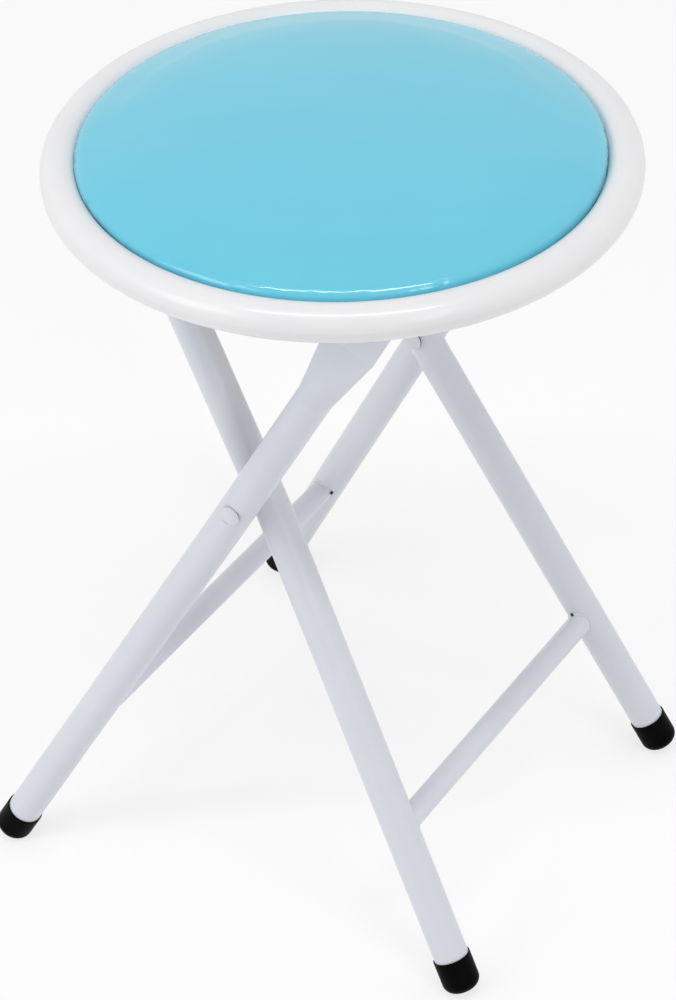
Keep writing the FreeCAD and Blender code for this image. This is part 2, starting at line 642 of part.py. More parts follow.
def make_rung(name, half_width, lean, height, frame):
    """Thin tube between two splayed legs, its ends coped to them."""
    along = f"(({height} - pivot_height) / cos(leg_angle))"
    blank = new_body(name + "_blank")
    sketch = new_sketch(blank, "XZ")
    disc(sketch, "rung_diameter / 2")
    disc(sketch, "rung_diameter / 2 - rung_wall")
    reach = below_bend(half_width, lean, along)
    pad(blank, sketch, f"2 * {reach}", True)
    place(blank, f"{frame} * {shift('0', '0', along)}")
    copes = []
    for side, sign in (("near", "-1"), ("far", "1")):
        cope = doc.addObject("Part::Cylinder", f"{name}_cope_{side}")
        bind(cope, Radius="tube_radius + weld_gap", Height="2 * (rung_diameter + tube_diameter)")
        spot = (f"placement(vector(0; {sign} * {reach}; {along});"
                f" rotation(vector(1; 0; 0); {sign} * {lean}))")
        place(cope, f"{frame} * {spot} * {shift('0', '0', '(0 - rung_diameter - tube_diameter)')}")
        copes.append(cope)
    tools = doc.addObject("Part::MultiFuse", name + "_copes")
    tools.Shapes = copes
    rung = doc.addObject("Part::Cut", name)
    rung.Base, rung.Tool = blank, tools
    return rung


# Foot caps, pivots and spacers
def make_foot_cap(name, sign, half_width, lean, frame, floor):
    """Rubber cup over a tube end, its rounded sole worn flat where it meets the floor."""
    body = new_body(name + "_blank")
    bottom = cap_bottom(lean)
    sketch = new_sketch(body, "XZ")
    bore = "(tube_diameter / 2 + cap_gap)"
    corners = [("0", "0"), ("cap_radius - cap_round", "0"), ("cap_radius", "cap_round"),
               ("cap_radius", "cap_length"), (bore, "cap_length"), (bore, "cap_sole"), ("0", "cap_sole")]
    outline(sketch, corners, {1: "cap_round"})
    revolve(body, sketch)
    spot = (f"placement(vector(0; {sign} * {below_bend(half_width, lean, bottom)}; {bottom});"
            f" rotation(vector(1; 0; 0); {sign} * {lean}))")
    place(body, f"{frame} * {spot}")
    cap = doc.addObject("Part::Cut", name)
    cap.Base, cap.Tool = body, floor
    return cap


def make_floor():
    """Block whose top is the floor, wide enough for all four feet."""
    floor = doc.addObject("Part::Box", "floor_block")
    bind(floor, Length="2 * ring_outer_diameter", Width="2 * ring_outer_diameter", Height="cap_length")
    place(floor, shift("(0 - ring_outer_diameter)", "(0 - ring_outer_diameter)", "(0 - cap_length)"))
    return floor


def make_pivot_rivet(side, sign):
    inside = "(inner_half_width - tube_radius + seat_depth)"
    outside = "(outer_half_width + tube_radius - seat_depth)"
    spot = (f"placement(vector(pivot_x; {sign} * ({inside} + {outside}) / 2; pivot_height);"
            " rotation(vector(1; 0; 0); 90))")
    return make_rivet("pivot_rivet_" + side, f"({outside} - {inside})", "rivet_head", "rivet_dome", spot)


def make_spacer(side, sign):
    body = new_body("pivot_spacer_" + side)
    sketch = new_sketch(body, "XZ")
    disc(sketch, "spacer_diameter / 2")
    disc(sketch, "rivet_diameter / 2 + rivet_play")
    pad(body, sketch, "spacer_thickness", True)
    middle = "((outer_half_width + inner_half_width) / 2)"
    place(body, shift("pivot_x", f"{sign} * {middle}", "pivot_height"))
    return body


hinge_screws = [("hinge_screw_x", y) for y in ("(0 - hinge_screw_y)", "0", "hinge_screw_y")]
catch_screws = [("catch_screw_x", y) for y in ("(0 - catch_screw_y)", "0", "catch_screw_y")]
board_screws = hinge_screws + catch_screws

sides = (("near", "-1"), ("far", "1"))
floor = make_floor()
pieces = [make_ring(), make_strap("hinge_strap", "hinge_x", hinge_screws),
          make_strap("catch_strap", "bar_x", catch_screws),
          make_board(board_screws), make_foam(), make_cover(), make_screws(board_screws),
          make_rung("outer_rung", "outer_half_width", "outer_lean", "outer_rung_height", outer_frame),
          make_hoop(),
          make_rung("inner_rung", "inner_half_width", "inner_lean", "inner_rung_height", inner_frame)]
for side, sign in sides:
    pieces += [make_hinge_bracket(side, sign), make_catch_hook(side, sign), make_hinge_rivet(side, sign),
               make_outer_leg(side, sign), make_pivot_rivet(side, sign), make_spacer(side, sign),
               make_foot_cap("foot_cap_outer_" + side, sign, "outer_half_width", "outer_lean",
                             outer_frame, floor),
               make_foot_cap("foot_cap_inner_" + side, sign, "inner_half_width", "inner_lean",
                             inner_frame, floor)]

doc.recompute()
for item in doc.Objects:
    if "Invalid" in item.State or "Error" in item.State:
        raise RuntimeError(f"{item.Label} did not rebuild: {item.State}")
os.makedirs("parts", exist_ok=True)
for piece in pieces:
    if piece.Shape.isNull() or not piece.Shape.isValid():
        raise RuntimeError(f"{piece.Label} has no valid shape")
    box = piece.Shape.BoundBox
    print(f"{piece.Label:24s} {len(piece.Shape.Solids):2d} solids {piece.Shape.Volume:10.1f} mm3  "
          f"X {box.XMin:7.1f} {box.XMax:7.1f}  Y {box.YMin:7.1f} {box.YMax:7.1f}  "
          f"Z {box.ZMin:6.1f} {box.ZMax:6.1f}")
    piece.Shape.exportStep(f"parts/{piece.Label}.step")
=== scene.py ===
import json
import math

import bpy
from mathutils import Matrix, Vector, noise


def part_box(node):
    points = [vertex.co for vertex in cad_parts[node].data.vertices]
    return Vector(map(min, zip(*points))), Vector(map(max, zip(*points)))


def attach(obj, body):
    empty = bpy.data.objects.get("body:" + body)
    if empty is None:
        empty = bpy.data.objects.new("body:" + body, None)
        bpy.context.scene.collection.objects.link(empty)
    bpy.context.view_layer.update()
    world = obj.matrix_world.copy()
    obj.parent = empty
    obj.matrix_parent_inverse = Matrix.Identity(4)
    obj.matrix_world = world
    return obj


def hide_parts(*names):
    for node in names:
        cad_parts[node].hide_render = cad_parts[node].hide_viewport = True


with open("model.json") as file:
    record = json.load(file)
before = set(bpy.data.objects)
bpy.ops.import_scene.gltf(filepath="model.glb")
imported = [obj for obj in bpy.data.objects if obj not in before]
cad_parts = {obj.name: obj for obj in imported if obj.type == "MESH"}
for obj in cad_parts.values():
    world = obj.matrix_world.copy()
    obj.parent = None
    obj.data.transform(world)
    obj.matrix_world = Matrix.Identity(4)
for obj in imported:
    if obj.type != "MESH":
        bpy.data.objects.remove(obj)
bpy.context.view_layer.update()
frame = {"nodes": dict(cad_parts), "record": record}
nodes = frame["nodes"]
scene = bpy.context.scene
ringLow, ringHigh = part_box("seat_ring")
seatLevel = (ringLow.z + ringHigh.z) / 2  # middle of the ring's tube
ringTube = (ringHigh.z - ringLow.z) / 2
ringMiddle = (ringHigh.x - ringLow.x) / 2 - ringTube
print("frame loaded,", len(nodes), "nodes")


# Wraps a socket, so that shader maths reads as plain sums
class Wire:
    def __init__(self, tree, socket=None):
        self.tree = tree
        self.socket = socket

    def add(self, kind, inputs=None, output=0, **settings):
        node = self.tree.nodes.new("ShaderNode" + kind)
        for name, value in settings.items():
            setattr(node, name, value)
        for name, value in (inputs or {}).items():
            if isinstance(value, Wire):
                self.tree.links.new(value.socket, node.inputs[name])
            else:
                node.inputs[name].default_value = value
        return Wire(self.tree, node.outputs[output])

    def math(self, operation, first, second):
        return self.add("Math", {0: first, 1: second}, operation=operation)

    def __add__(self, other):
        return self.math("ADD", self, other)

    def __mul__(self, other):
        return self.math("MULTIPLY", self, other)

    def ramp(self, start, end):  # black up to start, white from end
        ramp = self.add("ValToRGB", {"Fac": self})
        first, last = ramp.socket.node.color_ramp.elements
        first.position, last.position = start, end
        return ramp

    def noise(self, place, scale, detail, distortion=0.0):
        return self.add("TexNoise", {"Vector": place, "Scale": scale, "Detail": detail,
                                     "Distortion": distortion})

    def mix(self, first, second, amount):
        return self.add("Mix", {0: amount, 6: (*first, 1), 7: (*second, 1)}, 2, data_type="RGBA")

    def bump(self, strength, depth, height, **below):
        return self.add("Bump", {"Strength": strength, "Distance": depth, "Height": height, **below})


def startMaterial(name):
    material = bpy.data.materials.new(name)
    material.use_nodes = True
    material.node_tree.nodes.clear()
    return material, Wire(material.node_tree)


def finishMaterial(material, shader):
    output = material.node_tree.nodes.new("ShaderNodeOutputMaterial")
    material.node_tree.links.new(shader.socket, output.inputs["Surface"])
    return material


def placeOn(wire, stretch=(1, 1, 1)):
    return wire.add("Mapping", {"Vector": wire.add("TexCoord", output="Object"), "Scale": stretch})


def heightOn(wire):
    return wire.add("SeparateXYZ", {"Vector": wire.add("TexCoord", output="Object")}, 2)


ringFinish = {
    "color": (0.820, 0.819, 0.830), "shade": (0.788, 0.788, 0.806), "shadeRange": (0.42, 0.75),
    "cloudScale": 14, "peelScale": 420, "speckScale": 1900, "speck": 0.15, "bump": 0.6, "depth": 0.00002,
    "roughness": 0.29, "patches": 0.10, "coat": 0.30, "coatRoughness": 0.09, "ior": 1.5}


def makeRingPaint():
    look = ringFinish
    material, wire = startMaterial("ringPaint")
    place = placeOn(wire)
    cloud = wire.noise(place, look["cloudScale"], detail=3)
    peel = wire.noise(place, look["peelScale"], detail=2)
    speck = wire.noise(place, look["speckScale"], detail=1)
    return finishMaterial(material, wire.add("BsdfPrincipled", {
        "Base Color": wire.mix(look["color"], look["shade"], cloud.ramp(*look["shadeRange"])),
        "Roughness": cloud * look["patches"] + look["roughness"], "IOR": look["ior"],
        "Coat Weight": look["coat"], "Coat Roughness": look["coatRoughness"],
        "Normal": wire.bump(look["bump"], look["depth"], peel + speck * look["speck"])}))


frameFinish = {
    "color": (0.701, 0.716, 0.782), "shade": (0.666, 0.683, 0.752), "shadeRange": (0.35, 0.8),
    "cloudScale": 22, "grainScale": 1500, "grain": 0.5, "flowScale": 260, "bump": 0.7, "depth": 0.00003,
    "weldDepth": 0.00009, "roughness": 0.25, "grainRoughness": 0.12, "patches": 0.10, "coat": 0.25,
    "coatRoughness": 0.22, "ior": 1.48}


def makeFramePaint(name, depth):
    look = frameFinish
    material, wire = startMaterial(name)
    place = placeOn(wire)
    cloud = wire.noise(place, look["cloudScale"], detail=4)
    grain = wire.noise(place, look["grainScale"], detail=3)
    flow = wire.noise(place, look["flowScale"], detail=2)
    return finishMaterial(material, wire.add("BsdfPrincipled", {
        "Base Color": wire.mix(look["color"], look["shade"], cloud.ramp(*look["shadeRange"])),
        "Roughness": grain * look["grainRoughness"] + cloud * look["patches"] + look["roughness"],
        "IOR": look["ior"], "Coat Weight": look["coat"], "Coat Roughness": look["coatRoughness"],
        "Normal": wire.bump(look["bump"], depth, grain * look["grain"] + flow)}))


vinylFinish = {
    "color": (0.118, 0.573, 0.740), "shade": (0.106, 0.548, 0.717), "shadeRange": (0.35, 0.75),
    "cloudScale": 9, "grainScale": 700, "grainSmoothness": 0.7, "creaseScale": 1600, "crease": 0.3,
    "grainBump": 0.35, "grainDepth": 0.000010, "pullScale": 46, "pullStretch": (1, 1, 0.3),
    "pullBump": 0.30, "pullDepth": 0.00012, "roughness": 0.10, "grainRoughness": 0.05, "patches": 0.12,
    "coat": 0.5, "coatRoughness": 0.05, "ior": 1.5}


def makeVinyl():
    look = vinylFinish
    material, wire = startMaterial("cushionVinyl")
    place = placeOn(wire)
    cloud = wire.noise(place, look["cloudScale"], detail=4)
    grain = wire.add("TexVoronoi", {"Vector": place, "Scale": look["grainScale"],
                                    "Smoothness": look["grainSmoothness"]}, feature="SMOOTH_F1")
    crease = wire.noise(place, look["creaseScale"], detail=2)
    pull = wire.noise(placeOn(wire, look["pullStretch"]), look["pullScale"], detail=3)
    fine = wire.bump(look["grainBump"], look["grainDepth"], grain + crease * look["crease"])
    return finishMaterial(material, wire.add("BsdfPrincipled", {
        "Base Color": wire.mix(look["color"], look["shade"], cloud.ramp(*look["shadeRange"])),
        "Roughness": cloud * look["patches"] + grain * look["grainRoughness"] + look["roughness"],
        "IOR": look["ior"], "Coat Weight": look["coat"], "Coat Roughness": look["coatRoughness"],
        "Normal": wire.bump(look["pullBump"], look["pullDepth"], pull, Normal=fine)}))


capFinish = {
    "color": (0.0017, 0.0018, 0.0021), "scuff": (0.014, 0.0135, 0.013), "scuffRange": (0.45, 0.75),
    "scuffHeight": 0.006, "scuffLow": 0.8, "scuffAll": 0.12, "cloudScale": 120, "cloud": 0.8,
    "grainScale": 2400, "bump": 0.6, "depth": 0.00005, "roughness": 0.37, "scuffRoughness": 0.25,
    "patches": 0.12, "ior": 1.10}


def makeCapRubber():
    look = capFinish
    material, wire = startMaterial("capRubber")
    place = placeOn(wire)
    cloud = wire.noise(place, look["cloudScale"], detail=5)
    grain = wire.noise(place, look["grainScale"], detail=2)
    nearFloor = wire.add("MapRange", {"Value": heightOn(wire), "From Min": look["scuffHeight"],
                                      "From Max": 0.0})
    worn = cloud.ramp(*look["scuffRange"]) * (nearFloor * look["scuffLow"] + look["scuffAll"])
    return finishMaterial(material, wire.add("BsdfPrincipled", {
        "Base Color": wire.mix(look["color"], look["scuff"], worn), "IOR": look["ior"],
        "Roughness": worn * look["scuffRoughness"] + cloud * look["patches"] + look["roughness"],
        "Normal": wire.bump(look["bump"], look["depth"], grain + cloud * look["cloud"])}))


zincFinish = {
    "color": (0.66, 0.67, 0.68), "tarnish": (0.50, 0.50, 0.47), "cloudScale": 300, "grainScale": 3000,
    "bump": 0.4, "depth": 0.00003, "roughness": 0.24, "patches": 0.2}


def makeZinc():
    look = zincFinish
    material, wire = startMaterial("zincSteel")
    place = placeOn(wire)
    cloud = wire.noise(place, look["cloudScale"], detail=5)
    grain = wire.noise(place, look["grainScale"], detail=2)
    return finishMaterial(material, wire.add("BsdfPrincipled", {
        "Base Color": wire.mix(look["color"], look["tarnish"], cloud), "Metallic": 1.0,
        "Roughness": cloud * look["patches"] + look["roughness"],
        "Normal": wire.bump(look["bump"], look["depth"], grain + cloud)}))


plyFinish = {
    "light": (0.60, 0.44, 0.27), "dark": (0.42, 0.28, 0.155), "grainStretch": (30, 2.2, 30),
    "grainScale": 6, "grainWaver": 0.6, "streakRange": (0.35, 0.65), "streak": 0.55,
    "fibreStretch": (900, 40, 900), "fibre": 0.3, "plyThickness": 0.0015, "ply": 0.1, "bump": 0.5,
    "depth": 0.0001, "streakDepth": 0.4, "roughness": 0.62, "patches": 0.15}


def makePlywood():
    look = plyFinish
    material, wire = startMaterial("plywood")
    grain = wire.noise(placeOn(wire, look["grainStretch"]), look["grainScale"], detail=6,
                       distortion=look["grainWaver"])
    fibre = wire.noise(placeOn(wire, look["fibreStretch"]), scale=1, detail=3)
    ply = wire.math("PINGPONG", heightOn(wire), look["plyThickness"]) * (1 / look["plyThickness"])
    streak = grain.ramp(*look["streakRange"])
    amount = streak * look["streak"] + fibre * look["fibre"] + ply * look["ply"]
    return finishMaterial(material, wire.add("BsdfPrincipled", {
        "Base Color": wire.mix(look["light"], look["dark"], amount),
        "Roughness": fibre * look["patches"] + look["roughness"],
        "Normal": wire.bump(look["bump"], look["depth"], fibre + streak * look["streakDepth"])}))


nylonFinish = {
    "color": (0.74, 0.74, 0.72), "shade": (0.66, 0.66, 0.63), "scale": 500, "bump": 0.3,
    "depth": 0.00003, "roughness": 0.35, "patches": 0.1,
    "sockets": {"Subsurface Weight": 0.15, "Subsurface Radius": (0.002, 0.002, 0.002)}}
paintedGapShadeFinish = {  # painted shade: near black, stands in for the shade in the gaps under the rivet heads and beside the rung welds
    "color": (0.030, 0.033, 0.040), "shade": (0.012, 0.012, 0.014), "scale": 900, "bump": 0.4,
    "depth": 0.00003, "roughness": 0.45, "patches": 0.2, "sockets": {"IOR": 1.3}}


def makePlainFinish(name, look):
    material, wire = startMaterial(name)
    cloud = wire.noise(placeOn(wire), look["scale"], detail=3)
    return finishMaterial(material, wire.add("BsdfPrincipled", {
        "Base Color": wire.mix(look["color"], look["shade"], cloud),
        "Roughness": cloud * look["patches"] + look["roughness"],
        "Normal": wire.bump(look["bump"], look["depth"], cloud), **look["sockets"]}))


ringPaint = makeRingPaint()
framePaint = makeFramePaint("framePaint", frameFinish["depth"])
weldPaint = makeFramePaint("weldPaint", frameFinish["weldDepth"])
cushionVinyl = makeVinyl()
capRubber = makeCapRubber()
zincSteel = makeZinc()
plywood = makePlywood()
nylon = makePlainFinish("nylon", nylonFinish)
# Near-black painted shade for small gaps
paintedGapShade = makePlainFinish("paintedGapShade", paintedGapShadeFinish)
finishes = {"ring_paint": ringPaint, "frame_paint": framePaint, "rivet_steel": zincSteel,
            "screw_steel": zincSteel, "plywood": plywood, "vinyl": cushionVinyl, "foam": cushionVinyl,
            "cap_rubber": capRubber, "nylon": nylon}
for part in frame["record"]["subparts"]:
    node = nodes[part["node"]]
    for slot in node.material_slots:
        slot.material = finishes[part["material_slot"]]
print("finishes made")


def startPiece(name):
    piece = bpy.context.object
    piece.name = piece.data.name = name
    return piece


def deselectAll():
    if bpy.context.object and bpy.context.object.mode == "EDIT":
        bpy.ops.object.mode_set(mode="OBJECT")
    bpy.ops.object.select_all(action="DESELECT")


def applyPlace():
    bpy.ops.object.transform_apply(location=True, rotation=True, scale=True)


def addCylinder(name, count, radius, depth, middle=0.0):
    deselectAll()
    bpy.ops.mesh.primitive_cylinder_add(vertices=count, radius=radius, depth=depth, location=(0, 0, middle))
    applyPlace()
    return startPiece(name)


def addTorus(name, count, radius, thickness, middle=0.0):
    deselectAll()
    bpy.ops.mesh.primitive_torus_add(major_radius=radius, minor_radius=thickness, major_segments=count,
                                     minor_segments=10, location=(0, 0, middle))
    applyPlace()
    return startPiece(name)


def addBlock(name, size, middle=0.0, turn=0.0):
    deselectAll()
    bpy.ops.mesh.primitive_cube_add(size=1, location=(0, 0, middle), rotation=(0, 0, turn))
    bpy.context.object.scale = size
    applyPlace()
    return startPiece(name)


levelFacing = 0.9  # a face counts as level from this share of its normal


def pickEnd(piece, side):  # the faces that look up for 1, or down for -1
    bpy.ops.object.mode_set(mode="EDIT")
    bpy.ops.mesh.select_mode(type="FACE")
    bpy.ops.mesh.select_all(action="DESELECT")
    bpy.ops.object.mode_set(mode="OBJECT")
    for face in piece.data.polygons:
        face.select = face.normal.z * side > levelFacing
    bpy.ops.object.mode_set(mode="EDIT")


def extrudeTo(rings, start):
    radius, height = start
    for nextRadius, nextHeight in rings:
        bpy.ops.mesh.extrude_region_move(TRANSFORM_OT_translate={"value": (0, 0, nextHeight - height)})
        scale = nextRadius / radius
        bpy.ops.transform.resize(value=(scale, scale, 1), center_override=(0, 0, 0))
        radius, height = nextRadius, nextHeight


def atSeat(rings):
    return [(radius, seatLevel + rise) for radius, rise in rings]


def faceOutward():
    bpy.ops.object.mode_set(mode="EDIT")
    bpy.ops.mesh.select_all(action="SELECT")
    bpy.ops.mesh.normals_make_consistent(inside=False)
    bpy.ops.object.mode_set(mode="OBJECT")


def slicePiece(point, facing, **options):
    bpy.ops.object.mode_set(mode="EDIT")
    bpy.ops.mesh.select_all(action="SELECT")
    bpy.ops.mesh.bisect(plane_co=point, plane_no=facing, **options)
    bpy.ops.object.mode_set(mode="OBJECT")


def shapeWith(piece, kind, **settings):
    modifier = piece.modifiers.new("shaping", kind)
    for name, value in settings.items():
        setattr(modifier, name, value)
    bpy.ops.object.modifier_apply(modifier="shaping")


def cutAway(piece, cutter):
    deselectAll()
    piece.select_set(True)
    bpy.context.view_layer.objects.active = piece
    shapeWith(piece, "BOOLEAN", object=cutter, operation="DIFFERENCE", solver="EXACT")
    bpy.data.objects.remove(cutter, do_unlink=True)


def smoothBelow(degrees):
    bpy.ops.object.shade_smooth_by_angle(angle=math.radians(degrees))


def copyPiece(piece, name, move):
    twin = piece.copy()
    twin.data = piece.data.copy()
    twin.name = twin.data.name = name
    bpy.context.collection.objects.link(twin)
    twin.data.transform(move)
    return twin


def joinPieces(pieces, name):
    deselectAll()
    for piece in pieces:
        piece.select_set(True)
    bpy.context.view_layer.objects.active = pieces[0]
    bpy.ops.object.join()
    return startPiece(name)


def setFinish(piece, material, body):
    piece.data.materials.clear()
    piece.data.materials.append(material)
    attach(piece, body)


def outwardAt(turn):
    return Vector((math.cos(turn), math.sin(turn), 0))


def ripple(outward, spread, layer):  # smooth noise that closes on itself round the seat
    return noise.noise(Vector((outward.x * spread, outward.y * spread, layer)))


def sizeAcross(name):
    low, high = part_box(name)
    return high.x - low.x


# Radii, and heights from the middle of the ring's tube; the cloth then swells by up to the cap
cushionShape = {
    "segments": 128, "discHeight": 0.001,
    "side": [(0.1272, -0.0120), (0.1282, -0.0070), (0.1305, -0.0045), (0.1314, -0.0020), (0.1318, 0.0010)],
    "shoulder": [(0.1324, 0.0045), (0.1328, 0.0068), (0.1326, 0.0082), (0.1317, 0.0094), (0.1296, 0.0105)],
    "crown": [(0.1262, 0.0117), (0.1205, 0.0131), (0.112, 0.0148), (0.095, 0.0172), (0.072, 0.0197),
              (0.048, 0.0216), (0.024, 0.0227), (0.004, 0.02305)],
    "voxel": 0.004, "smoothing": 1, "offset": (-0.0010, 0.0003, 0),
    "fillFrom": -0.004, "widest": 0.1323, "widestRise": 0.0064, "crownRise": 0.0247,
    "ringClearance": 0.0003, "pressedRise": 0.0035, "pressedReach": 0.002,
    "hemRise": -0.0055, "boardRadius": 0.12655, "boardRise": 0.0039, "boardRoom": 0.03,
    "boardSegments": 192}


def makeCushion():
    shape = cushionShape
    rings = atSeat(shape["side"] + shape["shoulder"] + shape["crown"])
    radius, height = rings[0]
    piece = addCylinder("seatCushion", shape["segments"], radius, shape["discHeight"],
                        height - shape["discHeight"] / 2)
    pickEnd(piece, 1)
    extrudeTo(rings[1:], rings[0])
    faceOutward()
    piece.data.remesh_voxel_size = shape["voxel"]
    bpy.ops.object.voxel_remesh()
    shapeWith(piece, "SMOOTH", factor=0.5, iterations=shape["smoothing"])
    swell(piece)
    fillCover(piece)
    puckerEdge(piece)
    shapeWith(piece, "SUBSURF", levels=1, render_levels=1)
    holdInRing(piece)
    seatOnBoard(piece)
    smoothBelow(60)
    return piece


swellShape = {"pressure": 4.0, "tension": 24, "bending": 3.0, "quality": 6, "frames": 20,
              "pinBelow": 0.0060, "cap": 0.0016, "settling": 14}


def swell(piece):
    shape = swellShape
    start = [vertex.co.copy() for vertex in piece.data.vertices]
    board = piece.vertex_groups.new(name="onBoard")
    pinned = [vertex.index for vertex in piece.data.vertices if vertex.co.z < seatLevel + shape["pinBelow"]]
    board.add(pinned, 1.0, "REPLACE")
    cloth = piece.modifiers.new("cloth", "CLOTH")
    cloth.settings.quality = shape["quality"]
    cloth.settings.tension_stiffness = shape["tension"]
    cloth.settings.compression_stiffness = shape["tension"]
    cloth.settings.bending_stiffness = shape["bending"]
    cloth.settings.use_pressure = True
    cloth.settings.uniform_pressure_force = shape["pressure"]
    cloth.settings.effector_weights.gravity = 0
    cloth.settings.vertex_group_mass = "onBoard"
    cloth.point_cache.frame_start = 1
    cloth.point_cache.frame_end = shape["frames"]
    for step in range(1, shape["frames"] + 1):
        scene.frame_set(step)
    bpy.ops.object.modifier_apply(modifier="cloth")
    scene.frame_set(1)
    moves = [vertex.co - before for vertex, before in zip(piece.data.vertices, start)]
    moves = [move * min(1.0, shape["cap"] / max(move.length, 1e-9)) for move in moves]
    moves = settled(piece, moves, shape["settling"])
    for vertex, before, move in zip(piece.data.vertices, start, moves):
        vertex.co = before + move
    piece.vertex_groups.clear()
    print("cushion swollen")


def settled(piece, moves, rounds):  # the foam evens out the small folds
    for step in range(rounds):
        sums = [move.copy() for move in moves]
        counts = [1] * len(moves)
        for edge in piece.data.edges:
            first, second = edge.vertices
            sums[first] += moves[second]
            sums[second] += moves[first]
            counts[first] += 1
            counts[second] += 1
        moves = [total / count for total, count in zip(sums, counts)]
    return moves


def fillCover(piece):  # the foam fills the cover out to its sewn size
    shape = cushionShape
    vertices = piece.data.vertices
    widest = max(math.hypot(vertex.co.x, vertex.co.y) for vertex in vertices)
    top = max(vertex.co.z for vertex in vertices) - seatLevel
    turn = shape["widestRise"]
    stretch = (shape["crownRise"] - turn) / (top - turn)
    for vertex in vertices:
        rise = vertex.co.z - seatLevel
        share = min(1.0, max(0.0, (rise - shape["fillFrom"]) / (turn - shape["fillFrom"])))
        grow = 1 + (shape["widest"] / widest - 1) * share
        vertex.co.x *= grow
        vertex.co.y *= grow
        if rise > turn:
            vertex.co.z = seatLevel + turn + (rise - turn) * stretch


puckerShape = {"depth": 0.00005, "spread": 9.0, "fineSpread": 23.4, "fine": 0.5, "out": 0.5, "up": 0.8,
               "radius": 0.1275, "width": 0.010, "above": 0.005}


def puckerEdge(piece):  # pulled vinyl puckers a little where it turns down
    shape = puckerShape
    for vertex in piece.data.vertices:
        edge = 1 - abs(math.hypot(vertex.co.x, vertex.co.y) - shape["radius"]) / shape["width"]
        if edge < 0 or vertex.co.z < seatLevel + shape["above"]:
            continue
        outward = Vector((vertex.co.x, vertex.co.y, 0)).normalized()
        wave = ripple(outward, shape["spread"], layer=3.7)
        wave += shape["fine"] * ripple(outward, shape["fineSpread"], layer=9.1)
        vertex.co += (outward * shape["out"] + Vector((0, 0, shape["up"]))) * wave * edge * shape["depth"]


def holdInRing(piece):  # the side follows the round of the ring's tube, a little clear of it
    shape = cushionShape
    for vertex in piece.data.vertices:
        rise = vertex.co.z - seatLevel
        vertex.co += Vector(shape["offset"]) * min(1.0, max(0.0, rise / shape["widestRise"]))
        if abs(rise) > ringTube:
            continue
        across = math.hypot(vertex.co.x, vertex.co.y)
        room = ringMiddle - math.sqrt(ringTube ** 2 - rise ** 2) - shape["ringClearance"]
        pressed = abs(rise) < shape["pressedRise"] and across > room - shape["pressedReach"]
        if across > room or pressed:
            vertex.co.x *= room / across
            vertex.co.y *= room / across


def seatOnBoard(piece):  # open below, with room for the board
    shape = cushionShape
    slicePiece((0, 0, seatLevel + shape["hemRise"]), (0, 0, 1), use_fill=True, clear_inner=True)
    deep = shape["boardRoom"]
    cutAway(piece, addCylinder("boardRoom", shape["boardSegments"], shape["boardRadius"], deep,
                               seatLevel + shape["boardRise"] - deep / 2))


hemShape = {
    "segments": 180, "rings": [(0.1270, -0.0051), (0.1272, -0.0058), (0.1268, -0.0062), (0.1258, -0.0064),
                               (0.1212, -0.0064), (0.1160, -0.0064), (0.1108, -0.0064), (0.1060, -0.00635)],
    "wall": 0.0007, "gatherFrom": 0.1245, "gatherOver": 0.018, "pleats": 61, "pleatDepth": 0.0009,
    "waver": 2.2, "waverSpread": 3, "edgeWave": 0.0016, "edgeSpread": 7, "strapMargin": 0.006}


def nearStrap(x):
    margin = hemShape["strapMargin"]
    straps = [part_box("hinge_strap"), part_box("catch_strap")]
    return any(low.x - margin < x < high.x + margin for low, high in straps)


def makeHem():
    shape = hemShape
    rings = atSeat(shape["rings"])
    deselectAll()
    bpy.ops.mesh.primitive_circle_add(vertices=shape["segments"], radius=rings[0][0], fill_type="NOTHING",
                                      location=(0, 0, rings[0][1]))
    applyPlace()
    piece = startPiece("coverHem")
    bpy.ops.object.mode_set(mode="EDIT")
    bpy.ops.mesh.select_mode(type="EDGE")
    bpy.ops.mesh.select_all(action="SELECT")
    extrudeTo(rings[1:], rings[0])
    faceOutward()
    gatherHem(piece)
    shapeWith(piece, "SOLIDIFY", thickness=shape["wall"], offset=-1)
    smoothBelow(50)
    return piece


def gatherHem(piece):  # it stays flat where the straps press on it
    shape = hemShape
    for vertex in piece.data.vertices:
        across = math.hypot(vertex.co.x, vertex.co.y)
        if across > shape["gatherFrom"]:
            continue
        inward = (shape["gatherFrom"] - across) / shape["gatherOver"]
        turn = math.atan2(vertex.co.y, vertex.co.x)
        outward = outwardAt(turn)
        waver = shape["waver"] * ripple(outward, shape["waverSpread"], layer=0)
        phase = turn * shape["pleats"] + waver
        if not nearStrap(vertex.co.x):
            vertex.co.z -= inward * shape["pleatDepth"] * max(0.0, math.sin(phase)) ** 2
        wave = ripple(outward, shape["edgeSpread"], layer=4)
        grow = 1 + wave * shape["edgeWave"] * inward / across
        vertex.co.x *= grow
        vertex.co.y *= grow


cushion = makeCushion()
cushion = joinPieces([cushion, makeHem()], "seatCushion")
setFinish(cushion, cushionVinyl, "seat")
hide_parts("cushion_cover", "cushion_foam")
print("cushion made:", len(cushion.data.polygons), "faces")


# Staples that hold the hem
stapleShape = {"count": 26, "circle": 0.1115, "rise": -0.0068, "skew": 0.22, "length": 0.0105,
               "wire": 0.00075, "flatness": 0.6, "edge": 0.18, "bendAt": 0.86, "bendSlope": 0.004}


def makeStaple():
    shape = stapleShape
    piece = addBlock("staple", (shape["wire"], shape["length"], shape["wire"] * shape["flatness"]))
    bpy.ops.object.mode_set(mode="EDIT")
    bpy.ops.mesh.subdivide(number_cuts=1)
    bpy.ops.mesh.select_all(action="SELECT")
    bpy.ops.mesh.bevel(offset=shape["wire"] * shape["edge"], segments=2, affect="EDGES")
    bpy.ops.object.mode_set(mode="OBJECT")
    for vertex in piece.data.vertices:  # the ends go up into the board
        reach = abs(vertex.co.y) / (shape["length"] / 2)
        vertex.co.z += max(0.0, reach - shape["bendAt"]) * shape["bendSlope"]
    smoothBelow(40)
    return piece


